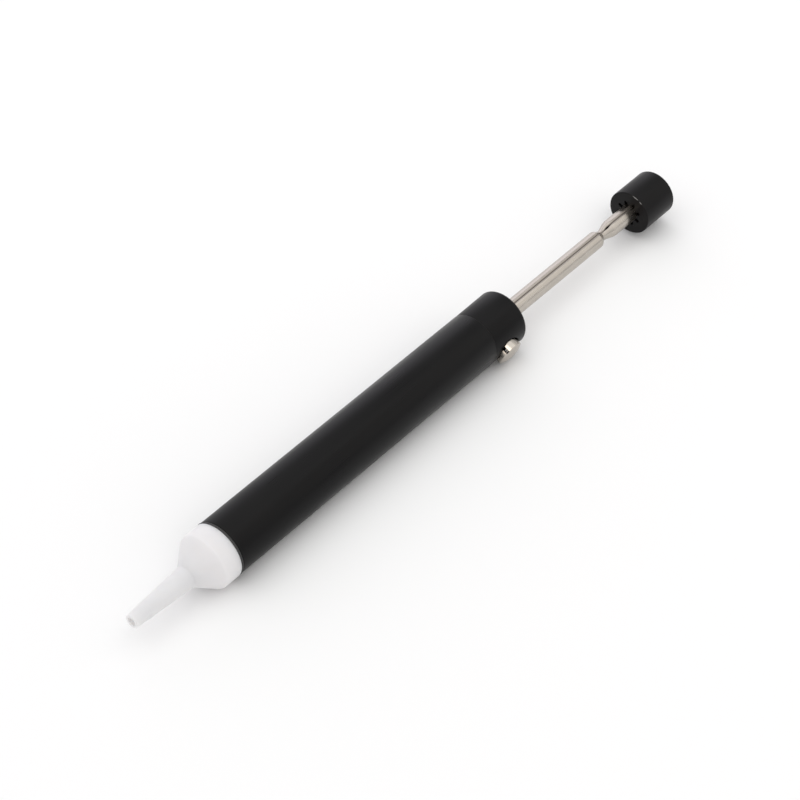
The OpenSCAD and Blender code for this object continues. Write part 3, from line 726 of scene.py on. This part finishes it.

# Nickel plate: warm grey, softly polished, with drawing lines and cloudy wear. The rod's groove
# is painted darker and rougher: painted shade in the crease.
nickel_worn, nickel_bright = (0.445, 0.41, 0.365, 1), (0.52, 0.48, 0.435, 1)
groove_shade_colour, groove_shade_share = (0.20, 0.175, 0.155, 1), 0.75
tree, shader = material_for("plated_steel", rod, button)
cloud = noise(tree, 220, 5)
lines = placed(tree, grain, Length=0.03, Width=0.12 * MM, Detail=2.0).outputs["Height"]
plate = colour_mix(tree, cloud, nickel_worn, nickel_bright)
in_groove = tree.nodes.new("ShaderNodeAttribute")
in_groove.attribute_name = "groove"
# Painted shade: the plate darkens along the groove.
groove_shade = smooth_step(tree, in_groove.outputs["Fac"], 0.0, 0.9, 0.0, groove_shade_share)
feed(tree, colour_mix(tree, groove_shade, plate, groove_shade_colour), shader.inputs["Base Color"])
shader.inputs["Metallic"].default_value = 1
wear_rough = smooth_step(tree, cloud, 0.3, 0.7, 0.2, 0.28)
line_rough = smooth_step(tree, lines, 0.3, 0.7, -0.03, 0.03)
groove_shade_rough = math_of(tree, "MULTIPLY", groove_shade, 0.3)
nickel_rough = math_of(tree, "ADD", math_of(tree, "ADD", wear_rough, line_rough), groove_shade_rough)
feed(tree, nickel_rough, shader.inputs["Roughness"])
bumped(tree, shader, lines, 0.004 * MM, 0.35)


# --- Latch, pins and trigger spring -----------------------------------------------------------
# Stamped steel: the latch plate with its tongue, the washers, the cross pin and the cleaning pin.
# The small spring under the button gets shorter as the button goes in.
trigger_coil_foot, trigger_coil_l = 6.9 * MM, 3.9 * MM
trigger_coil_r, trigger_wire_r, trigger_turns = 3.2 * MM, 0.225 * MM, 4
trigger_coil_form = coil(trigger_coil_r, trigger_wire_r, trigger_coil_l, trigger_turns)
trigger_coil_place = at_trigger @ along_x_to_z @ Matrix.Translation((trigger_coil_foot, 0, 0))
bmesh.ops.transform(trigger_coil_form, matrix=trigger_coil_place, verts=trigger_coil_form.verts)
trigger_coil = piece(
    trigger_coil_form, "coiled_trigger_spring", "housing", ["trigger_spring"]
)
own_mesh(trigger_coil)


def steel(slot, dark, pale, rough_low, rough_high, parts):
    """Plain or drawn steel with fine lines and a cloudy surface."""
    tree, shader = material_for(slot, *parts)
    cloud = noise(tree, 400, 5)
    feed(tree, colour_mix(tree, cloud, dark, pale), shader.inputs["Base Color"])
    shader.inputs["Metallic"].default_value = 1
    feed(tree, smooth_step(tree, cloud, 0.3, 0.7, rough_low, rough_high), shader.inputs["Roughness"])
    lines = placed(tree, grain, Length=0.02, Width=0.1 * MM, Detail=2.0).outputs["Height"]
    bumped(tree, shader, lines, 0.006 * MM, 0.5)


stamped = [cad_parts[name] for name in ("latch_plate", "latch_washer", "piston_washer")]
stamped_dark, stamped_pale = (0.42, 0.42, 0.43, 1), (0.58, 0.58, 0.58, 1)
steel("plain_steel", stamped_dark, stamped_pale, 0.3, 0.45, stamped)
drawn = [main_spring, trigger_coil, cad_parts["piston_pin"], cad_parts["cleaning_pin"]]
drawn_dark, drawn_pale = (0.36, 0.36, 0.38, 1), (0.52, 0.52, 0.53, 1)
steel("spring_steel", drawn_dark, drawn_pale, 0.26, 0.4, drawn)
